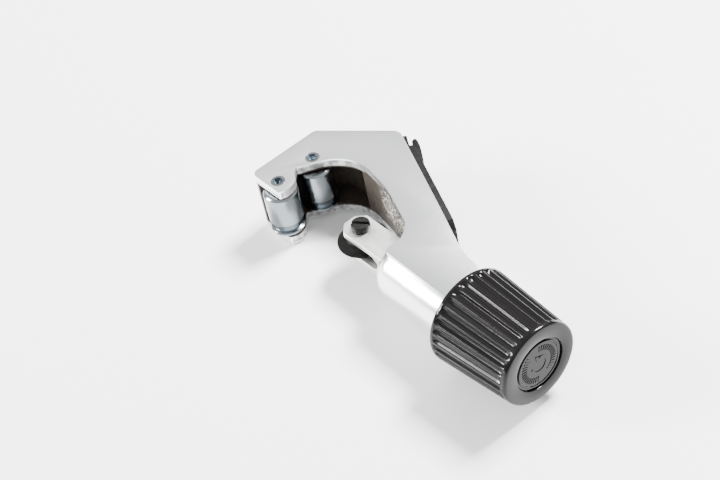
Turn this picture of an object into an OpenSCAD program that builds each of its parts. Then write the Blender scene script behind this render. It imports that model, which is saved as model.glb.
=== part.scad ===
// Enclosed-feed pipe cutter with two grooved rollers and a fold-out reamer.
// Units are millimetres. The origin is the centre of the largest pipe, seated on both
// rollers: +X runs along the feed screw to the knob, +Y to the back of the frame, where
// the reamer folds away, and +Z is the pipe's own axis.

/* [Capacity] */
// Radius of the largest pipe that seats
pipe_r = 13; // [12:0.5:13]
// Distance of the cutting wheel's axle from the pipe's centre, as stored
wheel_x = 15.1; // [-4:0.5:21]

/* [Rollers and wheel] */
// Radius of the rollers
roller_r = 6; // [5.6:0.1:6.2]
// Half the distance between the roller axles
roller_half = 7.5; // [7.2:0.1:8]
// Radius of the roller axle pins
pin_r = 2.5; // [2:0.1:2.8]
// Radius of the cutting wheel
wheel_r = 8.7; // [8:0.1:8.9]

/* [Frame] */
// Half the thickness of the head
head_half = 12; // [11.5:0.1:13]
// Thickness of each cheek
cheek_t = 3.5; // [3:0.1:3.6]
// Radius of the throat round the largest pipe
throat_r = 16; // [15.5:0.1:16.5]
// Radius of the barrel
barrel_r = 11.5; // [11.3:0.05:11.9]

/* [Knob] */
// Radius of the knob at its open rim
knob_rim_r = 16.5; // [16:0.1:18]
// Radius of the knob at its closed end
knob_end_r = 14.4; // [14.2:0.1:15]
// Number of grip flutes
flutes = 30; // [24:1:36]

/* [Hidden] */
$fn = 64;
e = 0.5;                      // how far a cutter runs past a face
slip = 0.06;                  // radial clearance of a running fit
roller_x = -sqrt(pow(pipe_r + roller_r, 2) - pow(roller_half, 2));
gap_half = head_half - cheek_t;

// Head outline
head_x = roller_x - 10;       // flat front of the head
head_y = -11;                 // flat lower edge of the head
shoulder_y = 16.6;            // where the front turns into the slanted top
peak = [-4.35, 35.3];         // corner between the slanted top and the back
back_end = [53.2, 10.7];      // where the back meets the barrel
back_angle = atan2(back_end[1] - peak[1], back_end[0] - peak[0]);
neck_x = 65.2;                // end of the flats, just short of the knob
neck_y = 9.6;
flat_y = -5.6;                // near edge of the flats over the barrel
neck_half = 10;               // half thickness across the flats at the neck
lobe_r = 5.8;                 // rounded end of each cheek round the outer pin
notch = [-17.9, 0.4];         // dip in each cheek's edge between the pins
knee = [13, 14];              // bend in the throat's long wall
throat_exit = [31.5, 6.7];    // where the throat wall turns in to the nose
lip = [34.6, 1.5];            // front edge of the flats over the nose
pocket = [-11.5, 6.5, 13.3];  // centre and radius of the roller pocket
wall_t = 2.8;                 // wall between the pocket and the head's front

// Barrel
nose_x = 31;                  // front face of the barrel
nose_r = 6.3;                 // rounding of the nose
barrel_end = 82;
barrel_back_r = 11.1;         // reduced radius inside the knob
bore_r = 7.5;
guide_end = 44;               // the square guide gives way to the round bore

// Carrier
carrier_w = 10.4;
carrier_t = 10;
carrier_tip = wheel_x - 6.1;
carrier_end = wheel_x + 45.7;
slot_half = 2.8;
slot_end = wheel_x + 12.9;
guide_gap = 0.15;

// Cutting wheel and its screw
hub_half = 2.65;
hub_r = 5.6;
axle_r = 2.5;
screw_head_r = 3.2;
screw_head_h = 2.6;
screw_slot_angle = 36;

// Feed screw
feed_r = 3.2;                 // crest radius of the thread
feed_root_r = 2.6;
feed_lead = 2.5;              // left-hand thread, so turning clockwise feeds the wheel in
feed_tip = 34.5;
collar = [67.8, 70.8, 6.2];   // start, end and radius of the thrust collar
washer_end = 72;
drive_w = 4.4;                // square drive in the knob
drive_end = 86.6;

// Knob
knob_rim_x = 65.8;
knob_end_x = 97;
knob_round = 2.2;             // rounding at the closed end
skirt_r = [12.7, 11.7];       // inside radius at the rim and at the floor
skirt_floor = 82.6;
chamber_x = 89.1;             // floor of the spare wheel's chamber
chamber_r = 9.4;
cap_t = 1.6;
cap_x = 95.2;
flute_depth = 0.75;
flute_start = knob_rim_x + 1.4;
flute_stop = knob_end_x - 2.6;
bolt_head_r = 3.6;
bolt_r = 1.5;

// Reamer, in its own frame: u runs down the back from the peak and v stands out of it
reamer_pivot = [4.6, -3.2];
reamer_len = 47;
reamer_half = 7.9;
reamer_top = 3;
reamer_floor = -4.4;
sheet_t = 1.4;
reamer_pin_r = 1.5;
channel_depth = 7.6;
heel_r = 9.8;                 // clears the thumb catch as the reamer swings out
channel_end = 54;
spring_t = 0.4;

// Points of an arc round c, from angle a0 to a1, in n steps
function arc(c, r, a0, a1, n = 12) =
    [for (i = [0:n]) c + r * [cos(a0 + (a1 - a0) * i / n), sin(a0 + (a1 - a0) * i / n)]];

// A corner at p between the points before and after it, rounded to radius r
function rounded(before, p, after, r, n = 8) =
    let (u = (before - p) / norm(before - p),
         v = (after - p) / norm(after - p),
         half = acos(u * v) / 2,
         c = p + (u + v) / norm(u + v) * r / sin(half),
         from = p + u * r / tan(half) - c,
         to = p + v * r / tan(half) - c,
         a0 = atan2(from[1], from[0]),
         turn = atan2(to[1], to[0]) - a0,
         sweep = turn > 180 ? turn - 360 : turn < -180 ? turn + 360 : turn)
    arc(c, r, a0, a0 + sweep, n);

// Turns a part drawn along Z to lie along X
module along_x() { rotate([0, 90, 0]) children(); }

// Turns a profile drawn as [x, radius] about the barrel's axis
module turned(profile) {
    along_x() rotate_extrude() polygon([for (p = profile) [p[1], p[0]]]);
}

// A plain ring on the X axis
module ring(x0, x1, outer, inner) {
    difference() {
        translate([x0, 0, 0]) along_x() cylinder(h = x1 - x0, r = outer);
        translate([x0 - e, 0, 0]) along_x() cylinder(h = x1 - x0 + 2 * e, r = inner);
    }
}

// The reamer's frame: u down the back, v out of it, Z as the frame's
module at_back() {
    translate([peak[0], peak[1], 0]) rotate(back_angle) children();
}

// ---- frame ----

function head_outline() =
    let (front_low = [head_x, head_y],
         shoulder = [head_x, shoulder_y],
         neck = [neck_x, neck_y],
         outer_pin = [roller_x, -roller_half],
         lobe_top = outer_pin + lobe_r * [cos(72), sin(72)],
         throat_top = throat_r * [cos(75), sin(75)])
    concat(
        rounded([roller_x, head_y], front_low, shoulder, 2.4),
        rounded(front_low, shoulder, peak, 2.4),
        rounded(shoulder, peak, back_end, 4.2),
        rounded(peak, back_end, neck, 34),
        [neck, [neck_x, flat_y]],
        rounded([neck_x, flat_y], [lip[0], flat_y], lip, 1.5),
        rounded([lip[0], flat_y], lip, throat_exit, 2.6),
        rounded(lip, throat_exit, knee, 9),
        rounded(throat_exit, knee, throat_top, 30),
        arc([0, 0], throat_r, 75, 155, 18),
        rounded(throat_r * [cos(155), sin(155)], notch, lobe_top, 0.8, 4),
        arc(outer_pin, lobe_r, 72, -37, 12));

module frame_blank() {
    intersection() {
        union() {
            translate([0, 0, -head_half - e])
                linear_extrude(2 * (head_half + e)) polygon(head_outline());
            turned(concat(
                [[nose_x, 0]],
                arc([nose_x + nose_r, barrel_r - nose_r], nose_r, 180, 90, 8),
                [[neck_x + 0.2, barrel_r], [neck_x + 0.8, barrel_back_r],
                 [barrel_end, barrel_back_r], [barrel_end, 0]]));
        }
        // Parallel faces over the head, closing in to the flats at the neck
        translate([0, 60, 0]) rotate([90, 0, 0]) linear_extrude(120)
            polygon([[head_x - 5, head_half], [lip[0], head_half], [neck_x, neck_half],
                     [neck_x + 0.3, barrel_r + 1], [barrel_end + 5, barrel_r + 1],
                     [barrel_end + 5, -barrel_r - 1], [neck_x + 0.3, -barrel_r - 1],
                     [neck_x, -neck_half], [lip[0], -head_half],
                     [head_x - 5, -head_half]]);
    }
}

// Space between the cheeks, round the rollers
module roller_pocket() {
    translate([0, 0, -gap_half]) linear_extrude(2 * gap_half) union() {
        translate([pocket[0], pocket[1]]) circle(pocket[2]);
        polygon([[head_x + wall_t, head_y - e], [roller_x + 12, head_y - e],
                 [roller_x + 12, pocket[1]], [head_x + wall_t, pocket[1]]]);
    }
}

// Open channel down the back, where the reamer folds in
module reamer_channel() {
    at_back() translate([0, 0, -gap_half]) linear_extrude(2 * gap_half) {
        polygon([[-8, 6], [-8, -channel_depth], [8, -channel_depth], [14, -5.6],
                 [channel_end - 7, -5.2], [channel_end, 0], [channel_end, 6]]);
        // Room for the heel of the reamer to swing through
        translate(reamer_pivot) circle(heel_r);
    }
}

module frame() {
    color("gainsboro") difference() {
        frame_blank();
        roller_pocket();
        reamer_channel();
        for (side = [-1, 1])
            translate([roller_x, side * roller_half, -head_half - e])
                cylinder(h = 2 * (head_half + e), r = pin_r);
        // Blind in the upper cheek, through the lower one
        at_back() translate([reamer_pivot[0], reamer_pivot[1], -head_half - e])
            cylinder(h = head_half + e + gap_half + 1.8, r = reamer_pin_r);
        translate([nose_x - e, -carrier_w / 2 - guide_gap, -carrier_t / 2 - guide_gap])
            cube([guide_end - nose_x + 2 * e, carrier_w + 2 * guide_gap,
                  carrier_t + 2 * guide_gap]);
        translate([guide_end, 0, 0]) along_x()
            cylinder(h = barrel_end - guide_end + e, r = bore_r);
        bush_pin_bore();
    }
}

// ---- rollers ----

module roller_pin(side) {
    color("silver") translate([roller_x, side * roller_half, 0]) difference() {
        translate([0, 0, -head_half]) cylinder(h = 2 * head_half, r = pin_r);
        // Three-lobed staking mark at the bottom of a shallow cup in each end
        for (end = [-1, 1]) {
            translate([0, 0, end * head_half]) cylinder(h = 1, r = 1.6, center = true);
            for (a = [90, 210, 330])
                rotate(a) translate([0.75, 0, end * (head_half - 0.5)]) sphere(0.7);
        }
    }
}

// A roller with a cut-off groove near its lower end and an axle bore
module roller(side) {
    h = gap_half - 0.3;
    chamfer = 0.7;
    color("lightsteelblue") translate([roller_x, side * roller_half, 0]) rotate_extrude()
        polygon([[pin_r + slip, -h], [roller_r - 0.4, -h], [roller_r, -h + 0.4],
                 [roller_r, -h + 1.1], [roller_r - 1.1, -h + 1.5], [roller_r - 1.1, -4.3],
                 [roller_r, -3.7], [roller_r, h - chamfer], [roller_r - chamfer, h],
                 [pin_r + slip, h]]);
}

// ---- carrier, wheel and screw ----

module wheel_carrier() {
    nose = 3;
    color("whitesmoke") difference() {
        translate([0, 0, -carrier_t / 2]) linear_extrude(carrier_t)
            polygon([[carrier_tip, -carrier_w / 2 + nose], [carrier_tip + nose, -carrier_w / 2],
                     [carrier_end, -carrier_w / 2], [carrier_end, carrier_w / 2],
                     [carrier_tip + nose, carrier_w / 2], [carrier_tip, carrier_w / 2 - nose]]);
        // Slot for the wheel, closing in at its end
        translate([0, carrier_w, 0]) rotate([90, 0, 0]) linear_extrude(2 * carrier_w)
            polygon([[carrier_tip - e, -slot_half], [slot_end - 2, -slot_half],
                     [slot_end, -1.2], [slot_end, 1.2], [slot_end - 2, slot_half],
                     [carrier_tip - e, slot_half]]);
        translate([slot_end - 2, 0, 0]) along_x()
            cylinder(h = carrier_end - slot_end + 2 + e, r = feed_r + slip);
        translate([wheel_x, 0, 0]) cylinder(h = carrier_t, r = axle_r);
        translate([wheel_x, 0, -carrier_t]) cylinder(h = carrier_t, r = axle_r - 0.4);
    }
}

// A cutting wheel about the Z axis
module wheel() {
    rotate_extrude() polygon([[axle_r + slip, -hub_half], [hub_r - 0.3, -hub_half],
        [hub_r, -hub_half + 0.3], [hub_r, -1.1], [wheel_r, -0.06], [wheel_r, 0.06],
        [hub_r, 1.1], [hub_r, hub_half - 0.3], [hub_r - 0.3, hub_half],
        [axle_r + slip, hub_half]]);
}

module cutting_wheel() {
    color("dimgray") translate([wheel_x, 0, 0]) wheel();
}

module wheel_screw() {
    top = carrier_t / 2;
    color("dimgray") translate([wheel_x, 0, 0]) difference() {
        union() {
            translate([0, 0, top]) rotate_extrude()
                polygon([[0, 0], [screw_head_r, 0], [screw_head_r, screw_head_h - 0.35],
                         [screw_head_r - 0.35, screw_head_h], [0, screw_head_h]]);
            translate([0, 0, -slot_half]) cylinder(h = top + slot_half, r = axle_r);
            translate([0, 0, -top + 0.2]) cylinder(h = top, r = axle_r - 0.4);
        }
        rotate(screw_slot_angle) translate([-4, -0.5, top + screw_head_h - 1.2])
            cube([8, 1, 2]);
    }
}

// ---- feed screw and its bearings ----

module feed_screw() {
    crests = floor((collar[0] - feed_tip - 2) / feed_lead);
    color("silver") difference() {
        union() {
            // Thread drawn as rings at the thread's lead
            turned(concat([[feed_tip, 0], [feed_tip, feed_root_r]],
                [for (i = [0:crests - 1], k = [0:3])
                    [feed_tip + 0.6 + feed_lead * (i + [0, 0.3, 0.6, 0.9][k]),
                     [feed_root_r, feed_r, feed_r, feed_root_r][k]]],
                [[collar[0], feed_root_r], [collar[0], collar[2]], [collar[1], collar[2]],
                 [collar[1], feed_r], [skirt_floor, feed_r], [skirt_floor, 0]]));
            translate([skirt_floor, -drive_w / 2, -drive_w / 2])
                cube([drive_end - skirt_floor, drive_w, drive_w]);
        }
        translate([drive_end - 9, 0, 0]) along_x() cylinder(h = 9 + e, r = bolt_r + 0.02);
    }
}

module rear_bush() {
    color("goldenrod") difference() {
        ring(washer_end, barrel_end, bore_r, feed_r + slip);
        bush_pin_bore();
    }
}

// Cross hole for the roll pin that holds the bush, clear of the screw
module bush_pin_bore() {
    translate([barrel_end - 4, 4.9, -barrel_r]) cylinder(h = 2 * barrel_r, r = 0.9);
}

module bush_roll_pin() {
    half = 9.7;
    color("silver") translate([barrel_end - 4, 4.9, -half]) difference() {
        cylinder(h = 2 * half, r = 0.9);
        translate([0, 0, -e]) cylinder(h = 2 * half + 2 * e, r = 0.45);
    }
}

module thrust_washer() { color("silver") ring(collar[1], washer_end, 6.6, feed_r + slip); }

module friction_washer() {
    color("black") ring(barrel_end + 0.05, skirt_floor - 0.05, 9, feed_r + slip + 0.1);
}

// ---- knob ----

module knob() {
    slope = (knob_end_r - knob_rim_r) / (knob_end_x - knob_rim_x);
    tilt = atan(slope);
    flute_r = 1.25;
    color("black") difference() {
        turned(concat(
            [[knob_rim_x, skirt_r[0]], [knob_rim_x, knob_rim_r - 0.3],
             [knob_rim_x + 0.3, knob_rim_r]],
            arc([knob_end_x - knob_round, knob_end_r - knob_round], knob_round, 90, 0, 8),
            [[knob_end_x, chamber_r], [chamber_x, chamber_r], [chamber_x, 2],
             [skirt_floor, 2], [skirt_floor, skirt_r[1]]]));
        for (i = [0:flutes - 1]) rotate([360 * i / flutes, 0, 0])
            translate([flute_start, 0,
                       knob_rim_r + slope * (flute_start - knob_rim_x) + flute_r - flute_depth])
                rotate([0, 90 - tilt, 0]) cylinder(h = flute_stop - flute_start, r = flute_r);
        translate([skirt_floor - e, -drive_w / 2 - 0.03, -drive_w / 2 - 0.03])
            cube([drive_end - skirt_floor + 0.2 + e, drive_w + 0.06, drive_w + 0.06]);
        translate([chamber_x - 2, 0, 0]) along_x() cylinder(h = 2 + e, r = bolt_head_r + 0.05);
    }
}

module knob_bolt() {
    color("silver") difference() {
        turned([[chamber_x - 0.2, 0], [chamber_x - 0.2, bolt_head_r], [chamber_x - 2, bolt_head_r],
                [chamber_x - 2, bolt_r], [drive_end - 8, bolt_r], [drive_end - 8, 0]]);
        for (a = [0, 90]) rotate([a, 0, 0])
            translate([chamber_x - 1.2, -2, -0.35]) cube([2, 4, 0.7]);
    }
}

module spare_wheel() {
    color("dimgray") translate([chamber_x + 0.1 + hub_half, 0, 0]) along_x() wheel();
}

// Snap-in cap over the spare wheel, stepped down round its edge
module knob_cap() {
    cap_r = chamber_r - 0.05;
    step = [0.9, 0.5];
    color("black") turned([[cap_x, 0], [cap_x, cap_r], [cap_x + cap_t - step[1], cap_r],
                           [cap_x + cap_t - step[1], cap_r - step[0]],
                           [cap_x + cap_t, cap_r - step[0]], [cap_x + cap_t, 0]]);
}

// ---- reamer ----

// Folded sheet blade: a tray that lies in the channel with its back outwards
module reamer() {
    lug_r = 3.2;
    color("black") at_back() difference() {
        union() {
            intersection() {
                translate([0, 0, -gap_half]) linear_extrude(2 * gap_half)
                    polygon(concat([[-1.2, 2.2], [-2.4, reamer_pivot[1] + 1]],
                        arc(reamer_pivot, lug_r, 160, 270, 6),
                        [[14, reamer_floor], [reamer_len - 3, reamer_floor + 1.6],
                         [reamer_len, 0.6], [reamer_len - 0.6, reamer_top],
                         [4.4, reamer_top], [4, 1.5]]));
                translate([0, 10, 0]) rotate([90, 0, 0]) linear_extrude(20)
                    tray_plan(0);
            }
            // Thumb catch on the back of the blade
            translate([0, 0, -6.2]) linear_extrude(12.4)
                polygon([[4.6, reamer_top - e], [0.6, reamer_top + 0.2], [-0.4, reamer_top + 1.2],
                         [-0.2, reamer_top + 1.9], [1.2, reamer_top + 2.2],
                         [3.6, reamer_top + 2.1], [7, reamer_top + 1.7], [11, reamer_top + 0.9],
                         [12.6, reamer_top], [12.6, reamer_top - e]]);
        }
        translate([0, reamer_top - sheet_t, 0]) rotate([90, 0, 0]) linear_extrude(20)
            tray_plan(sheet_t);
        translate([reamer_pivot[0], reamer_pivot[1], -gap_half - e])
            cylinder(h = 2 * gap_half + 2 * e, r = reamer_pin_r + slip);
    }
}

// Plan of the tray in u and Z, taken in by t on each long side and open at the pivot end
module tray_plan(t) {
    end = reamer_len - 2.4 * t;
    half = reamer_half - t;
    corner = 3;
    polygon([[-8, -half], [end - corner, -half], [end, -half + corner],
             [end, half - corner], [end - corner, half], [-8, half]]);
}

module reamer_pin() {
    color("silver") at_back() translate([reamer_pivot[0], reamer_pivot[1], -head_half])
        cylinder(h = head_half + gap_half + 1.6, r = reamer_pin_r);
}

module reamer_spring_washer() {
    color("silver") at_back() translate([reamer_pivot[0], reamer_pivot[1], -gap_half + 0.05])
        difference() {
            cylinder(h = spring_t, r = 3);
            translate([0, 0, -e]) cylinder(h = spring_t + 2 * e, r = reamer_pin_r + slip);
        }
}

frame();
roller_pin(-1);  // outer_roller_pin
roller_pin(1);  // inner_roller_pin
roller(-1);  // outer_roller
roller(1);  // inner_roller
wheel_carrier();
cutting_wheel();
wheel_screw();
feed_screw();
rear_bush();
bush_roll_pin();
thrust_washer();
friction_washer();
knob();
knob_bolt();
spare_wheel();
knob_cap();
reamer();
reamer_pin();
reamer_spring_washer();
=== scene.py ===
"""Looks of an enclosed-feed pipe cutter, laid out as an add-on and run as a script."""
import math

import bmesh
import bpy
from bpy.props import FloatProperty, FloatVectorProperty, IntProperty, PointerProperty
from mathutils import Matrix, Vector


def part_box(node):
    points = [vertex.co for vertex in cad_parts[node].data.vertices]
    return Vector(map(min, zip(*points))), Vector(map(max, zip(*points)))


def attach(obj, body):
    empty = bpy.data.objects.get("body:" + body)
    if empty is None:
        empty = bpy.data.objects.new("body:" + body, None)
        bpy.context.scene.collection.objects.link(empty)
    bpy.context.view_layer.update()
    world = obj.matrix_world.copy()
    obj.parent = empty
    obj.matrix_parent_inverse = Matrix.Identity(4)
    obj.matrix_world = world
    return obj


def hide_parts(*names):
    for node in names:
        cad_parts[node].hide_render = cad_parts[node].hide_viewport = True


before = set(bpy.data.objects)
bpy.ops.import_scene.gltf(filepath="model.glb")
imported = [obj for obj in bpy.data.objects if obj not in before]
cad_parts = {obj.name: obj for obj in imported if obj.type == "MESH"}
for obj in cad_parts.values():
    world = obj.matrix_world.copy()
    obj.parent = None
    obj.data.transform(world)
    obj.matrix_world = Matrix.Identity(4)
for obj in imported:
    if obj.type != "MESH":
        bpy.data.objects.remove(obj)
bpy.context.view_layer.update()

bl_info = {
    "name": "Pipe Cutter",
    "version": (1, 0, 0),
    "blender": (4, 5, 0),
    "location": "View3D > Sidebar > Pipe Cutter",
    "description": "Models and finishes the pieces of a pipe cutter around its design",
    "category": "Object",
}

MM = 0.001
ALONG_X = (0, math.pi / 2, 0)
KNOB_LOW, KNOB_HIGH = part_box("knob")
CAP_LOW, CAP_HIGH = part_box("knob_cap")
HEAD_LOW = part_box("frame")[0]


# ---- sizes and colours ----

class CutterShapes(bpy.types.PropertyGroup):
    """Sizes of the detail that is modelled here"""

    casting_edge: FloatProperty(
        name="Casting edge", description="Rounding along the edges of the plated casting",
        default=0.45 * MM, unit="LENGTH")
    turned_edge: FloatProperty(
        name="Turned edge", description="Rounding along the edges of turned parts",
        default=0.16 * MM, unit="LENGTH")
    carrier_edge: FloatProperty(
        name="Carrier edge", description="Rounding along the edges of the wheel carrier",
        default=0.4 * MM, unit="LENGTH")
    sheet_edge: FloatProperty(
        name="Sheet edge", description="Rounding along the edges of the folded reamer",
        default=0.25 * MM, unit="LENGTH")
    ribs: IntProperty(
        name="Ribs", description="Number of grip ribs round the knob", default=30, min=12)
    groove_depth: FloatProperty(
        name="Groove depth", description="Depth of the grooves between the ribs",
        default=0.9 * MM, unit="LENGTH")
    knob_end_radius: FloatProperty(
        name="Knob end radius", description="Radius of the knob at its closed end",
        default=14.4 * MM, unit="LENGTH")
    knob_rounding: FloatProperty(
        name="Knob rounding", description="Rounding where the knob's side meets its end",
        default=0.9 * MM, unit="LENGTH")


class CutterFinishes(bpy.types.PropertyGroup):
    """Colours and gloss of the finishes"""

    chrome: FloatVectorProperty(
        name="Chrome", description="Colour of the plated casting", subtype="COLOR",
        default=(0.87, 0.88, 0.90))
    chrome_roughness: FloatProperty(
        name="Chrome roughness", description="Roughness of the plated casting",
        default=0.25, min=0, max=1, subtype="FACTOR")
    throat: FloatVectorProperty(
        name="Throat", description="Colour of the stained casting skin in the throat",
        subtype="COLOR", default=(0.037, 0.029, 0.022))
    zinc: FloatVectorProperty(
        name="Zinc plate", description="Colour of the rollers and pins", subtype="COLOR",
        default=(0.215, 0.236, 0.248))
    cast_zinc: FloatVectorProperty(
        name="Cast zinc", description="Colour of the wheel carrier", subtype="COLOR",
        default=(0.78, 0.79, 0.76))
    oxide: FloatVectorProperty(
        name="Black oxide", description="Colour of the blackened steel", subtype="COLOR",
        default=(0.004, 0.0038, 0.0036))
    plastic: FloatVectorProperty(
        name="Knob plastic", description="Colour of the moulded knob", subtype="COLOR",
        default=(0.0035, 0.0033, 0.0032))
    steel: FloatVectorProperty(
        name="Steel", description="Colour of the plain steel parts", subtype="COLOR",
        default=(0.55, 0.55, 0.56))
    bronze: FloatVectorProperty(
        name="Bronze", description="Colour of the sintered bush", subtype="COLOR",
        default=(0.52, 0.34, 0.17))
    nylon: FloatVectorProperty(
        name="Nylon", description="Colour of the friction washer", subtype="COLOR",
        default=(0.04, 0.04, 0.04))
    # Painted glints: the bright colour painted on marks on the throat's long wall
    painted_glint_fleck: FloatVectorProperty(
        name="Fleck", description="Colour of the bright flecks on the throat's long wall",
        subtype="COLOR", default=(0.9, 0.85, 0.74))
    # Painted shade: dark bluish colour painted into the rollers' groove and the pins' end cups
    painted_shade: FloatVectorProperty(
        name="Oil", description="Colour of zinc plate under dark oil", subtype="COLOR",
        default=(0.06, 0.085, 0.105))


class CutterStage(bpy.types.PropertyGroup):
    """Camera, floor and light"""

    azimuth: FloatProperty(
        name="Azimuth", description="Camera's direction from +X, about Z",
        default=math.radians(-31.5), subtype="ANGLE")
    elevation: FloatProperty(
        name="Elevation", description="Camera's height above the frame's plane",
        default=math.radians(43.66), subtype="ANGLE")
    roll: FloatProperty(
        name="Roll", description="Turn of the camera about its own axis",
        default=math.radians(-12.83), subtype="ANGLE")
    distance: FloatProperty(
        name="Distance", description="Camera's distance from the point it looks at",
        default=582 * MM, unit="LENGTH")
    focal_length: FloatProperty(
        name="Focal length", description="Focal length in millimetres", default=89.2)
    aim: FloatVectorProperty(
        name="Aim", description="Point that the camera looks at", subtype="XYZ",
        unit="LENGTH", default=(14.46 * MM, -1.05 * MM, 0))
    floor: FloatVectorProperty(
        name="Floor", description="Colour of the floor", subtype="COLOR",
        default=(0.80, 0.80, 0.805))
    back_power: FloatProperty(
        name="Back light", description="Power of the light behind the tool",
        default=82, unit="POWER")
    window_power: FloatProperty(
        name="Window light", description="Power of the light in front, which the ribs mirror",
        default=32, unit="POWER")
    sky_strength: FloatProperty(
        name="Sky", description="Strength of the light from all round", default=1.45)
    horizon: FloatVectorProperty(
        name="Horizon", description="Colour of the sky near the horizon", subtype="COLOR",
        default=(0.15, 0.152, 0.16))


def shapes():
    return bpy.context.scene.cutter_shapes


def finishes():
    return bpy.context.scene.cutter_finishes


# ---- shader tools ----

class Wire:
    """A socket that arithmetic works on; each operator adds its Math node."""

    def __init__(self, shader, socket):
        self.shader = shader
        self.socket = socket

    def math(self, operation, *others):
        values = dict(enumerate((self, *others)))
        return self.shader.node("ShaderNodeMath", {"operation": operation}, values)

    def __add__(self, other):
        return self.math("ADD", other)

    def __sub__(self, other):
        return self.math("SUBTRACT", other)

    def __rsub__(self, other):
        return self * -1 + other

    def __mul__(self, other):
        return self.math("MULTIPLY", other)

    def __abs__(self):
        return self.math("ABSOLUTE")

    __radd__ = __add__
    __rmul__ = __mul__

    def step(self, low, high):
        """0 at low, 1 at high and smooth between; low may be the greater."""
        rising = low < high
        return self.shader.node(
            "ShaderNodeMapRange", {"interpolation_type": "SMOOTHSTEP"},
            {"Value": self, "From Min": min(low, high), "From Max": max(low, high),
             "To Min": 0.0 if rising else 1.0, "To Max": 1.0 if rising else 0.0})


class Shader:
    """The node tree of a material, or of the world, being wired up."""

    def __init__(self, tree):
        self.tree = tree
        self.tree.nodes.clear()

    def node(self, kind, settings=None, values=None, output=0):
        """Adds a node, with its settings first and then its sockets' values or links."""
        made = self.tree.nodes.new(kind)
        for key, value in (settings or {}).items():
            setattr(made, key, value)
        for key, value in (values or {}).items():
            self.put(made.inputs[key], value)
        return Wire(self, made.outputs[output]) if made.outputs else None

    def put(self, socket, value):
        """Links a wire to a socket, or sets the socket to a constant."""
        if isinstance(value, Wire):
            self.tree.links.new(value.socket, socket)
        elif socket.type == "RGBA":
            socket.default_value = (*value[:3], 1.0)
        else:
            socket.default_value = value

    def place(self):
        """The point on the piece, in metres."""
        return self.node("ShaderNodeTexCoord", output="Object")

    def axes(self):
        """x, y and z on the piece, in millimetres."""
        parts = self.node("ShaderNodeSeparateXYZ", values={0: self.place()})
        return [Wire(self, socket) * (1 / MM) for socket in parts.socket.node.outputs]

    def noise(self, size, detail=3.0, roughness=0.5, stretch=(1, 1, 1)):
        """Noise from 0 to 1, in patches of about size, in metres."""
        stretched = self.node(
            "ShaderNodeMapping", values={"Vector": self.place(), "Scale": stretch})
        return self.node("ShaderNodeTexNoise", values={
            "Vector": stretched, "Scale": 1 / size, "Detail": detail,
            "Roughness": roughness})

    def mix(self, factor, first, second):
        """Colour from first, at factor 0, to second, at factor 1."""
        return self.node("ShaderNodeMix", {"data_type": "RGBA"},
                         {0: factor, 6: first, 7: second}, 2)

    def bump(self, height, depth):
        """Normal of a surface that rises by depth, in metres, where height is 1."""
        return self.node("ShaderNodeBump", values={"Height": height, "Distance": depth})


def material(name, wire_up):
    """The named principled material; wire_up(shader) gives its sockets' values.

    The names differ from those of the materials that come with the frame.
    """
    made = bpy.data.materials.get(name)
    if made is None:
        made = bpy.data.materials.new(name)
        made.use_nodes = True
        shader = Shader(made.node_tree)
        surface = shader.node("ShaderNodeBsdfPrincipled", values=wire_up(shader))
        shader.node("ShaderNodeOutputMaterial", values={"Surface": surface})
    return made


def scaled(colour, factor):
    """A colour made lighter or darker."""
    return tuple(min(1.0, channel * factor) for channel in colour)


# ---- materials ----

def plated_casting():
    """Bright plate over a tumbled casting, with its rough, stained skin left in the throat."""
    def wire_up(shader):
        x, y, z = shader.axes()
        peel = shader.noise(4 * MM, 2)
        haze = shader.noise(0.5 * MM, 4)
        grain = shader.noise(0.55 * MM, 5, 0.65)
        mottle = shader.noise(2.6 * MM, 4, 0.6)
        # All in millimetres: the throat goes back to its round wall and its slanting long wall,
        # and it ends at the barrel
        reach = y + (x - 8).math("MAXIMUM", 0) * 0.36 - x.step(4, 2.5) * 2.4
        wall = reach.step(18.1, 17.5)
        mouth = x.step(31, 30.5).math("MAXIMUM", x.step(34, 33) * y.step(5, 5.6))
        throat = wall * mouth
        # Its edges are stained out to the cheeks' faces, and the hollow between them all over
        edges = abs(z).step(11.7, 11.3) * throat * x.step(-26, -25.6) * y.step(-10.7, -10.2)
        deep = abs(z).step(9.4, 8.4) * throat * x.step(-27.3, -27.1)
        # A painted dark reflection: a dark band along the upper cheek's edge of the throat,
        # towards the barrel, added to the real stain
        painted_dark_edge = x.step(3, 10) * z.step(8.4, 9.6) * 0.5
        stain_and_painted_edge = edges * (mottle.step(0.38, 0.62) * 0.45 + painted_dark_edge + 0.3)
        stain_and_painted_edge = (stain_and_painted_edge + deep * 1.2).math("MINIMUM", 1.0)
        # The long wall has small marks on its rough skin, painted bright gold-white as painted
        # glints
        cells = shader.noise(0.6 * MM, 3, 0.6, (0.6, 0.6, 1))
        painted_glint_flecks = deep * x.step(6, 12) * z.step(-7, 1) * cells.step(0.53, 0.56)
        colour = shader.mix(mottle, scaled(finishes().throat, 0.6), scaled(finishes().throat, 1.5))
        colour = shader.mix(stain_and_painted_edge, finishes().chrome, colour)
        colour = shader.mix(painted_glint_flecks, colour, finishes().painted_glint_fleck)
        gloss = finishes().chrome_roughness
        rough = (haze - 0.5) * 0.1 + gloss + stain_and_painted_edge * 0.3 - painted_glint_flecks * 0.2
        height = peel * 0.12 + grain * (edges * 0.3 + deep * 0.5)
        return {"Base Color": colour, "Roughness": rough, "Metallic": 1.0 - stain_and_painted_edge * 0.6,
                "Normal": shader.bump(height, 0.35 * MM)}
    return material("plated_casting", wire_up)


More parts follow.
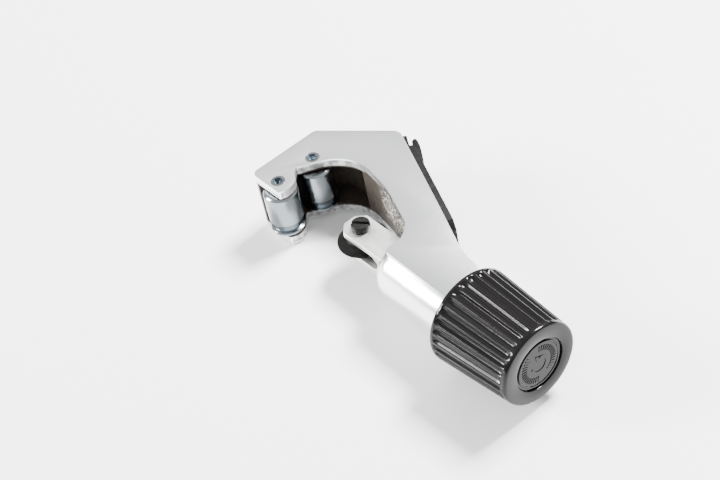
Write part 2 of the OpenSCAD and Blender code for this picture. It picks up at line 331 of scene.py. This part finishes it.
def zinc_plate():
    """Bluish bright plate over turned steel, with the lathe's fine rings."""
    def wire_up(shader):
        rings = shader.noise(0.12 * MM, 2, 0.5, (0.02, 0.02, 1))
        cloud = shader.noise(3 * MM, 3)
        z = shader.axes()[2]
        # Painted shade: the rollers' groove and the cups in the pins' ends are painted dark and
        # bluish, for the shade and dark reflection in them
        groove = z.step(-6.95, -6.6) * z.step(-3.6, -4.1)
        cup = abs(z).step(10.4, 10.8) * abs(z).step(11.85, 11.6)
        painted_shade = groove * 0.75 + cup * 0.9
        colour = shader.mix(cloud, scaled(finishes().zinc, 0.86), scaled(finishes().zinc, 1.1))
        colour = shader.mix(painted_shade, colour, finishes().painted_shade)
        return {"Base Color": colour, "Roughness": cloud * 0.1 + 0.1 + rings * 0.05,
                "Metallic": 1.0, "Normal": shader.bump(rings, 0.012 * MM)}
    return material("zinc_plate", wire_up)


def cast_zinc():
    """Satin cast zinc, rubbed along its length by sliding."""
    def wire_up(shader):
        rubs = shader.noise(0.35 * MM, 3, 0.6, (0.05, 1, 1))
        skin = shader.noise(1.6 * MM, 4, 0.6)
        colour = shader.mix(skin, scaled(finishes().cast_zinc, 0.86),
                            scaled(finishes().cast_zinc, 1.06))
        return {"Base Color": colour, "Roughness": rubs * 0.18 + skin * 0.12 + 0.25,
                "Metallic": 0.92, "Normal": shader.bump(rubs * 0.4 + skin, 0.03 * MM)}
    return material("satin_cast_zinc", wire_up)


def black_oxide():
    """Blackened steel, slightly oily, greyer where it has been handled."""
    def wire_up(shader):
        worn = shader.noise(2.2 * MM, 5, 0.62)
        fine = shader.noise(0.25 * MM, 3)
        colour = shader.mix(worn.step(0.45, 0.75), finishes().oxide,
                            scaled(finishes().oxide, 1.8))
        return {"Base Color": colour, "Roughness": worn * 0.2 + fine * 0.12 + 0.32,
                "Metallic": 0.0, "Specular IOR Level": 0.12,
                "Normal": shader.bump(fine, 0.012 * MM)}
    return material("black_oxide", wire_up)


def plain_steel():
    """Turned steel with fine rings and an oily trace."""
    def wire_up(shader):
        rings = shader.noise(0.15 * MM, 2, 0.5, (1, 0.03, 0.03))
        cloud = shader.noise(2 * MM, 3)
        colour = shader.mix(cloud, scaled(finishes().steel, 0.8), scaled(finishes().steel, 1.1))
        return {"Base Color": colour, "Roughness": rings * 0.12 + cloud * 0.12 + 0.2,
                "Metallic": 1.0, "Normal": shader.bump(rings, 0.015 * MM)}
    return material("turned_steel", wire_up)


def sintered_bronze():
    """Porous bronze, darker in its pores."""
    def wire_up(shader):
        pores = shader.noise(0.22 * MM, 3, 0.7).step(0.35, 0.55)
        colour = shader.mix(pores, scaled(finishes().bronze, 0.45), finishes().bronze)
        return {"Base Color": colour, "Roughness": 0.6 - pores * 0.2,
                "Metallic": 1.0, "Normal": shader.bump(pores, 0.03 * MM)}
    return material("porous_bronze", wire_up)


def moulded_plastic():
    """Semi-gloss black moulding with a faint sheen of handling."""
    def wire_up(shader):
        touch = shader.noise(7 * MM, 4, 0.6)
        fine = shader.noise(0.35 * MM, 3, 0.6)
        colour = shader.mix(touch, scaled(finishes().plastic, 0.8),
                            scaled(finishes().plastic, 1.35))
        return {"Base Color": colour, "Roughness": touch * 0.06 + fine * 0.04 + 0.1,
                "Specular IOR Level": 0.2, "Normal": shader.bump(fine, 0.004 * MM)}
    return material("moulded_plastic", wire_up)


def nylon():
    """Matt moulded nylon of the friction washer."""
    def wire_up(shader):
        fine = shader.noise(0.3 * MM, 3)
        return {"Base Color": finishes().nylon, "Roughness": fine * 0.2 + 0.5,
                "Normal": shader.bump(fine, 0.02 * MM)}
    return material("moulded_nylon", wire_up)


# ---- modelling tools ----

def select_nothing():
    """Leaves object mode with nothing selected."""
    if bpy.context.object and bpy.context.object.mode != "OBJECT":
        bpy.ops.object.mode_set(mode="OBJECT")
    bpy.ops.object.select_all(action="DESELECT")


def select_only(piece):
    """Leaves object mode with just this piece selected and active."""
    select_nothing()
    piece.select_set(True)
    bpy.context.view_layer.objects.active = piece


def edit(piece, mode="VERT"):
    """Goes into edit mode on a piece, to select verts, edges or faces."""
    select_only(piece)
    bpy.ops.object.mode_set(mode="EDIT")
    bpy.ops.mesh.select_mode(type=mode)


def pick(piece, kind, test):
    """Selects, in edit mode, just the verts, edges or faces that pass the test."""
    shape = bmesh.from_edit_mesh(piece.data)
    bpy.ops.mesh.select_all(action="DESELECT")
    for part in getattr(shape, kind):
        part.select = test(part)
    if kind == "verts":
        shape.select_flush(True)
    else:
        shape.select_flush_mode()
    bmesh.update_edit_mesh(piece.data)


def place_in_mesh(piece):
    """Puts the object's place, turn and scale into its mesh."""
    select_only(piece)
    bpy.ops.object.transform_apply(location=True, rotation=True, scale=True)


def clean(piece, angle=35):
    """Merges doubles, turns faces outwards and smooths all but sharp edges."""
    edit(piece)
    bpy.ops.mesh.select_all(action="SELECT")
    bpy.ops.mesh.remove_doubles(threshold=0.001 * MM)
    bpy.ops.mesh.normals_make_consistent(inside=False)
    select_only(piece)
    bpy.ops.object.shade_smooth_by_angle(angle=math.radians(angle))


def finish_piece(piece, name, body, slot, finish, *nodes):
    """Names a piece, gives it its finish, and has it stand for nodes on a body."""
    select_only(piece)
    piece.name = piece.data.name = name
    piece.data.materials.clear()
    piece.data.materials.append(finish)
    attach(piece, body)
    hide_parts(*nodes)


def merged_copy(node):
    """A closed copy of a CAD node to model on, with its flat faces made whole."""
    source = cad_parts[node]
    piece = bpy.data.objects.new(node + "_work", source.data.copy())
    bpy.context.scene.collection.objects.link(piece)
    select_only(piece)
    bpy.ops.mesh.customdata_custom_splitnormals_clear()
    edit(piece)
    bpy.ops.mesh.select_all(action="SELECT")
    bpy.ops.mesh.remove_doubles(threshold=0.002 * MM)
    bpy.ops.mesh.dissolve_limited(angle_limit=math.radians(0.6))
    return piece


def soften(piece, width, segments=3, sharpness=32):
    """Rounds every sharp edge of a piece."""
    edit(piece, "EDGE")
    bpy.ops.mesh.select_all(action="DESELECT")
    bpy.ops.mesh.edges_select_sharp(sharpness=math.radians(sharpness))
    bpy.ops.mesh.bevel(offset=width, segments=segments, affect="EDGES", clamp_overlap=True)
    select_only(piece)
    bpy.ops.object.shade_smooth_by_angle(angle=math.radians(30))


def softened(node, width, body, slot, finish):
    """A CAD node remade with rounded edges."""
    piece = merged_copy(node)
    soften(piece, width)
    finish_piece(piece, node + "_finished", body, slot, finish, node)


def dress(node, finish):
    """Gives a CAD node that stays its finish."""
    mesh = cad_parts[node].data
    mesh.materials.clear()
    mesh.materials.append(finish)


def rings_about_x(count, stations):
    """A skin swept through rings about the X axis: stations are (x, radius)."""
    select_nothing()
    x, radius = stations[0]
    bpy.ops.mesh.primitive_circle_add(
        vertices=count, radius=radius, location=(x, 0, 0), rotation=ALONG_X)
    piece = bpy.context.object
    place_in_mesh(piece)
    edit(piece)
    bpy.ops.mesh.select_all(action="SELECT")
    for next_x, next_radius in stations[1:]:
        bpy.ops.mesh.extrude_region_move(
            TRANSFORM_OT_translate={"value": (next_x - x, 0, 0)})
        ratio = next_radius / radius
        bpy.ops.transform.resize(value=(1, ratio, ratio), center_override=(next_x, 0, 0))
        x, radius = next_x, next_radius
    return piece


# ---- operators, one for each piece or group of like pieces ----

class PieceOperator:
    """What the operators share; each one's build does its work."""

    bl_options = {"REGISTER", "UNDO"}

    def execute(self, context):
        self.build()
        return {"FINISHED"}


class CUTTER_OT_frame(PieceOperator, bpy.types.Operator):
    """Model the plated casting with its soft edges"""

    bl_idname = "cutter.frame"
    bl_label = "Frame Casting"

    def build(self):
        softened("frame", shapes().casting_edge, "head", "chrome_casting", plated_casting())


class CUTTER_OT_rollers(PieceOperator, bpy.types.Operator):
    """Model the two rollers and their staked pins"""

    bl_idname = "cutter.rollers"
    bl_label = "Rollers and Pins"

    def build(self):
        for place in ("outer", "inner"):
            softened(place + "_roller", shapes().turned_edge, place + "_roller",
                     "zinc_steel", zinc_plate())
            softened(place + "_roller_pin", shapes().turned_edge, "head",
                     "zinc_steel", zinc_plate())


class CUTTER_OT_carrier(PieceOperator, bpy.types.Operator):
    """Model the carrier that slides in the barrel"""

    bl_idname = "cutter.carrier"
    bl_label = "Wheel Carrier"

    def build(self):
        softened("wheel_carrier", shapes().carrier_edge, "carrier", "cast_zinc", cast_zinc())


class CUTTER_OT_wheels(PieceOperator, bpy.types.Operator):
    """Finish the cutting wheel, its screw and the spare wheel"""

    bl_idname = "cutter.wheels"
    bl_label = "Cutting Wheels"

    def build(self):
        softened("wheel_screw", shapes().turned_edge, "carrier", "black_steel",
                 black_oxide())
        for node in ("cutting_wheel", "spare_wheel"):
            dress(node, black_oxide())


class CUTTER_OT_feed(PieceOperator, bpy.types.Operator):
    """Finish the feed screw and its bearings"""

    bl_idname = "cutter.feed"
    bl_label = "Feed Screw"

    def build(self):
        for node in ("feed_screw", "thrust_washer", "bush_roll_pin", "knob_bolt"):
            dress(node, plain_steel())
        dress("rear_bush", sintered_bronze())
        dress("friction_washer", nylon())


class CUTTER_OT_knob(PieceOperator, bpy.types.Operator):
    """Model the ribbed knob"""

    bl_idname = "cutter.knob"
    bl_label = "Knob"

    # Points round the knob for each rib, and a groove's depth by points from its middle
    columns = 12
    groove = {0: 1.0, 1: 0.96, 2: 0.84, 3: 0.58, 4: 0.26, 5: 0.06}
    # A groove's share of its full depth, by millimetres from its end
    run_out = {0: 0.0, 0.25: 0.4, 0.7: 0.72, 1.4: 0.92, 2.4: 1.0}
    # Thickness of the rim round the barrel, and radius of the hole for the screw
    rim_wall = 3.8 * MM
    hole_r = 3.3 * MM

    def build(self):
        size = shapes()
        rim_x, end_x = KNOB_LOW.x, KNOB_HIGH.x
        rim_r, end_r = KNOB_HIGH.z, size.knob_end_radius
        floor_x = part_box("friction_washer")[1].x + 0.05 * MM
        chamber_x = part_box("spare_wheel")[0].x - 0.1 * MM
        chamber_r = CAP_HIGH.z + 0.05 * MM
        mouth_r = rim_r - self.rim_wall
        rounding = size.knob_rounding

        def side(x):
            """The radius over the ribs, which narrows towards the knob's end."""
            return rim_r + (end_r - rim_r) * (x - rim_x) / (end_x - rim_x)

        start, stop = rim_x + 1.3 * MM, end_x - 1.5 * MM
        shares = {start + step * MM: share for step, share in self.run_out.items()}
        shares.update({stop - step * MM: share for step, share in self.run_out.items()})
        stations = [(floor_x, self.hole_r), (floor_x, mouth_r - 1.0 * MM), (rim_x, mouth_r),
                    (rim_x, rim_r - 0.5 * MM), (rim_x + 0.15 * MM, rim_r - 0.15 * MM),
                    (rim_x + 0.5 * MM, rim_r)]
        stations += [(x, side(x)) for x in sorted(shares)]
        turn_x, turn_r = end_x - rounding, side(end_x - rounding) - rounding
        stations += [(turn_x + rounding * math.sin(angle), turn_r + rounding * math.cos(angle))
                     for angle in (math.radians(15 * step) for step in range(7))]
        stations += [(end_x, chamber_r + 0.35 * MM), (end_x - 0.1 * MM, chamber_r + 0.1 * MM),
                     (end_x - 0.35 * MM, chamber_r), (chamber_x, chamber_r),
                     (chamber_x, self.hole_r)]
        count = size.ribs * self.columns
        knob = rings_about_x(count, stations)
        self.cut_grooves(knob, shares, side, count)
        edit(knob)
        bpy.ops.mesh.select_non_manifold()
        bpy.ops.mesh.bridge_edge_loops()
        clean(knob, 40)
        finish_piece(knob, "knob_moulding", "knob", "black_plastic", moulded_plastic(), "knob")

    def cut_grooves(self, knob, shares, side, count):
        """Draws the groove columns in towards the axis, ring by ring."""
        def column(point):
            """How many points a place is from the middle of its groove."""
            index = round(math.atan2(point.z, point.y) / math.tau * count) % self.columns
            return min(index, self.columns - index)

        for x, share in shares.items():
            if share == 0:
                continue
            for offset, depth in self.groove.items():
                cut = shapes().groove_depth * share * depth
                ratio = 1 - cut / side(x)
                pick(knob, "verts", lambda v: abs(v.co.x - x) < 1e-6
                     and abs(v.co.yz.length - side(x)) < 1e-5 and column(v.co) == offset)
                bpy.ops.transform.resize(value=(1, ratio, ratio), center_override=(x, 0, 0))


class CUTTER_OT_cap(PieceOperator, bpy.types.Operator):
    """Model the snap-in cap with its raised marks"""

    bl_idname = "cutter.cap"
    bl_label = "Knob Cap"

    marks = 40
    mark_ring = (5.0 * MM, 6.9 * MM)
    mark_width = 0.42 * MM
    arrow_radius = 2.9 * MM
    # The marks' height over the cap's face, and their thickness, partly sunk in it
    relief = 0.22 * MM
    thickness = relief * 1.6

    def build(self):
        step_x = CAP_HIGH.x - 0.5 * MM
        field_x = CAP_HIGH.x - self.relief
        edge_r = CAP_HIGH.z
        rim_r = edge_r - 0.9 * MM
        stations = [(CAP_LOW.x, 0.4 * MM), (CAP_LOW.x, edge_r - 0.2 * MM),
                    (CAP_LOW.x + 0.2 * MM, edge_r), (step_x - 0.15 * MM, edge_r),
                    (step_x, edge_r - 0.15 * MM), (step_x, rim_r),
                    (CAP_HIGH.x - 0.12 * MM, rim_r), (CAP_HIGH.x, rim_r - 0.12 * MM),
                    (CAP_HIGH.x, rim_r - 0.55 * MM), (field_x, rim_r - 0.7 * MM),
                    (field_x, 0.4 * MM)]
        cap = rings_about_x(96, stations)
        bpy.ops.mesh.select_non_manifold()
        bpy.ops.mesh.edge_face_add()
        clean(cap, 30)
        parts = [self.bar(field_x, self.mark_ring, math.tau * index / self.marks)
                 for index in range(self.marks) if index % (self.marks // 2) > 3]
        parts += [self.arrow_arc(field_x), self.arrow_head(field_x)]
        select_only(cap)
        for part in parts:
            part.select_set(True)
        bpy.context.view_layer.objects.active = cap
        bpy.ops.object.join()
        finish_piece(cap, "knob_cap_marked", "knob", "black_plastic", moulded_plastic(),
                     "knob_cap")

    def bar(self, base_x, ring, angle):
        """A short raised bar on a ray from the knob's axis."""
        select_nothing()
        middle, length = sum(ring) / 2, ring[1] - ring[0]
        bpy.ops.mesh.primitive_cube_add(size=1, location=(base_x, 0, middle),
                                        scale=(self.thickness, self.mark_width, length))
        return self.turned(bpy.context.object, angle)

    def turned(self, mark, angle):
        """Insets a mark's flat top, all in one plane, and turns it about the knob's axis."""
        place_in_mesh(mark)
        edit(mark, "FACE")
        pick(mark, "faces", lambda face: face.normal.x > 0.9)
        bpy.ops.mesh.inset(thickness=0.07 * MM)
        clean(mark, 30)
        mark.rotation_euler = (angle, 0, 0)
        place_in_mesh(mark)
        return mark

    def arrow_arc(self, base_x):
        """Most of a turn of raised band, spun about the knob's axis."""
        select_nothing()
        bpy.ops.mesh.primitive_plane_add(size=1, location=(base_x, 0, self.arrow_radius))
        band = bpy.context.object
        band.scale = (self.thickness, 0.6 * MM, 1)
        band.rotation_euler = (math.pi / 2, 0, 0)
        place_in_mesh(band)
        edit(band)
        bpy.ops.mesh.select_all(action="SELECT")
        bpy.ops.mesh.spin(steps=40, angle=math.radians(265), center=(base_x, 0, 0),
                          axis=(1, 0, 0))
        clean(band, 30)
        return band

    def arrow_head(self, base_x):
        """The three-cornered head at the end of the band."""
        select_nothing()
        bpy.ops.mesh.primitive_cylinder_add(
            vertices=3, radius=1.25 * MM, depth=self.thickness,
            location=(base_x, 0, self.arrow_radius), rotation=ALONG_X)
        return self.turned(bpy.context.object, math.radians(6))


class CUTTER_OT_reamer(PieceOperator, bpy.types.Operator):
    """Model the fold-out reamer and finish its pin and spring washer"""

    bl_idname = "cutter.reamer"
    bl_label = "Reamer"

    def build(self):
        softened("reamer", shapes().sheet_edge, "reamer", "black_steel", black_oxide())
        for node in ("reamer_pin", "reamer_spring_washer"):
            dress(node, plain_steel())


class CUTTER_OT_stage(PieceOperator, bpy.types.Operator):
    """Set up the camera, floor and soft light"""

    bl_idname = "cutter.stage"
    bl_label = "Stage"

    def build(self):
        stage = bpy.context.scene.cutter_stage
        self.camera(stage)
        self.floor(stage)
        self.sky(stage)
        self.softbox("back_light", (0.05, 0.72, 0.9), 0.34, stage.back_power)
        self.softbox("window_light", (-0.56, -0.70, 0.46), 0.32, stage.window_power)

    def camera(self, stage):
        """A camera on a sphere round its aim, turned about its own axis."""
        azimuth, elevation, roll = stage.azimuth, stage.elevation, stage.roll
        back = Vector((math.cos(azimuth) * math.cos(elevation),
                       math.sin(azimuth) * math.cos(elevation), math.sin(elevation)))
        right = Vector((-math.sin(azimuth), math.cos(azimuth), 0))
        turned = Matrix.Rotation(roll, 3, back)
        axes = Matrix((turned @ right, turned @ back.cross(right), back)).transposed()
        data = bpy.data.cameras.new("camera")
        data.lens = stage.focal_length
        camera = bpy.data.objects.new("camera", data)
        camera.matrix_world = Matrix.Translation(
            Vector(stage.aim) + back * stage.distance) @ axes.to_4x4()
        bpy.context.scene.collection.objects.link(camera)
        bpy.context.scene.camera = camera

    def floor(self, stage):
        """A pale floor under the knob's rim and the head's front edge, where the tool rests."""
        rim = Vector((KNOB_LOW.x, 0, KNOB_LOW.z))
        front = Vector((HEAD_LOW.x, 0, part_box("outer_roller_pin")[0].z))
        slope = math.atan2(front.z - rim.z, rim.x - front.x)
        select_nothing()
        bpy.ops.mesh.primitive_plane_add(size=6, location=(rim + front) / 2,
                                         rotation=(0, slope, 0))
        floor = bpy.context.object
        floor.name = "floor"

        def wire_up(shader):
            cloud = shader.noise(0.25, 2)
            colour = shader.mix(cloud, scaled(stage.floor, 0.98), scaled(stage.floor, 1.01))
            return {"Base Color": colour, "Roughness": 0.55}
        floor.data.materials.append(material("floor", wire_up))

    def sky(self, stage):
        """A sky that is brightest halfway up, dimmer overhead and dimmest at the horizon."""
        world = bpy.data.worlds.new("studio")
        world.use_nodes = True
        bpy.context.scene.world = world
        shader = Shader(world.node_tree)
        place = shader.node("ShaderNodeTexCoord", output="Generated")
        height = shader.node("ShaderNodeSeparateXYZ", values={0: place}, output=2)
        band = height.step(0.0, 0.62) * (1 - height.step(0.78, 0.98) * 0.6)
        glow = shader.mix(band, stage.horizon, (1.0, 1.0, 1.0))
        light = shader.node(
            "ShaderNodeBackground", values={"Color": glow, "Strength": stage.sky_strength})
        shader.node("ShaderNodeOutputWorld", values={"Surface": light})

    def softbox(self, name, place, width, power):
        """A square light at a place, in metres, that faces the tool."""
        data = bpy.data.lights.new(name, "AREA")
        data.shape = "SQUARE"
        data.size = width
        data.energy = power
        light = bpy.data.objects.new(name, data)
        light.location = place
        light.rotation_euler = (-Vector(place)).to_track_quat("-Z", "Y").to_euler()
        bpy.context.scene.collection.objects.link(light)


PIECES = (CUTTER_OT_stage, CUTTER_OT_frame, CUTTER_OT_rollers, CUTTER_OT_carrier,
          CUTTER_OT_wheels, CUTTER_OT_feed, CUTTER_OT_knob, CUTTER_OT_cap, CUTTER_OT_reamer)
GROUPS = (("cutter_shapes", CutterShapes), ("cutter_finishes", CutterFinishes),
          ("cutter_stage", CutterStage))


class CUTTER_PT_pieces(bpy.types.Panel):
    """The cutter's sizes, finishes and pieces"""

    bl_idname = "CUTTER_PT_pieces"
    bl_label = "Pipe Cutter"
    bl_space_type = "VIEW_3D"
    bl_region_type = "UI"
    bl_category = "Pipe Cutter"

    def draw(self, context):
        for attribute, group in GROUPS:
            box = self.layout.box()
            values = getattr(context.scene, attribute)
            for name in group.__annotations__:
                box.prop(values, name)
        for operator in PIECES:
            self.layout.operator(operator.bl_idname)


def register():
    for attribute, group in GROUPS:
        bpy.utils.register_class(group)
        setattr(bpy.types.Scene, attribute, PointerProperty(type=group))
    for made in (*PIECES, CUTTER_PT_pieces):
        bpy.utils.register_class(made)


def unregister():
    for made in reversed((*PIECES, CUTTER_PT_pieces)):
        bpy.utils.unregister_class(made)
    for attribute, group in reversed(GROUPS):
        delattr(bpy.types.Scene, attribute)
        bpy.utils.unregister_class(group)


def main():
    register()
    bpy.ops.cutter.stage()
    bpy.ops.cutter.frame()
    bpy.ops.cutter.rollers()
    bpy.ops.cutter.carrier()
    bpy.ops.cutter.wheels()
    bpy.ops.cutter.feed()
    bpy.ops.cutter.knob()
    bpy.ops.cutter.cap()
    bpy.ops.cutter.reamer()
    select_nothing()


if __name__ == "__main__":
    main()
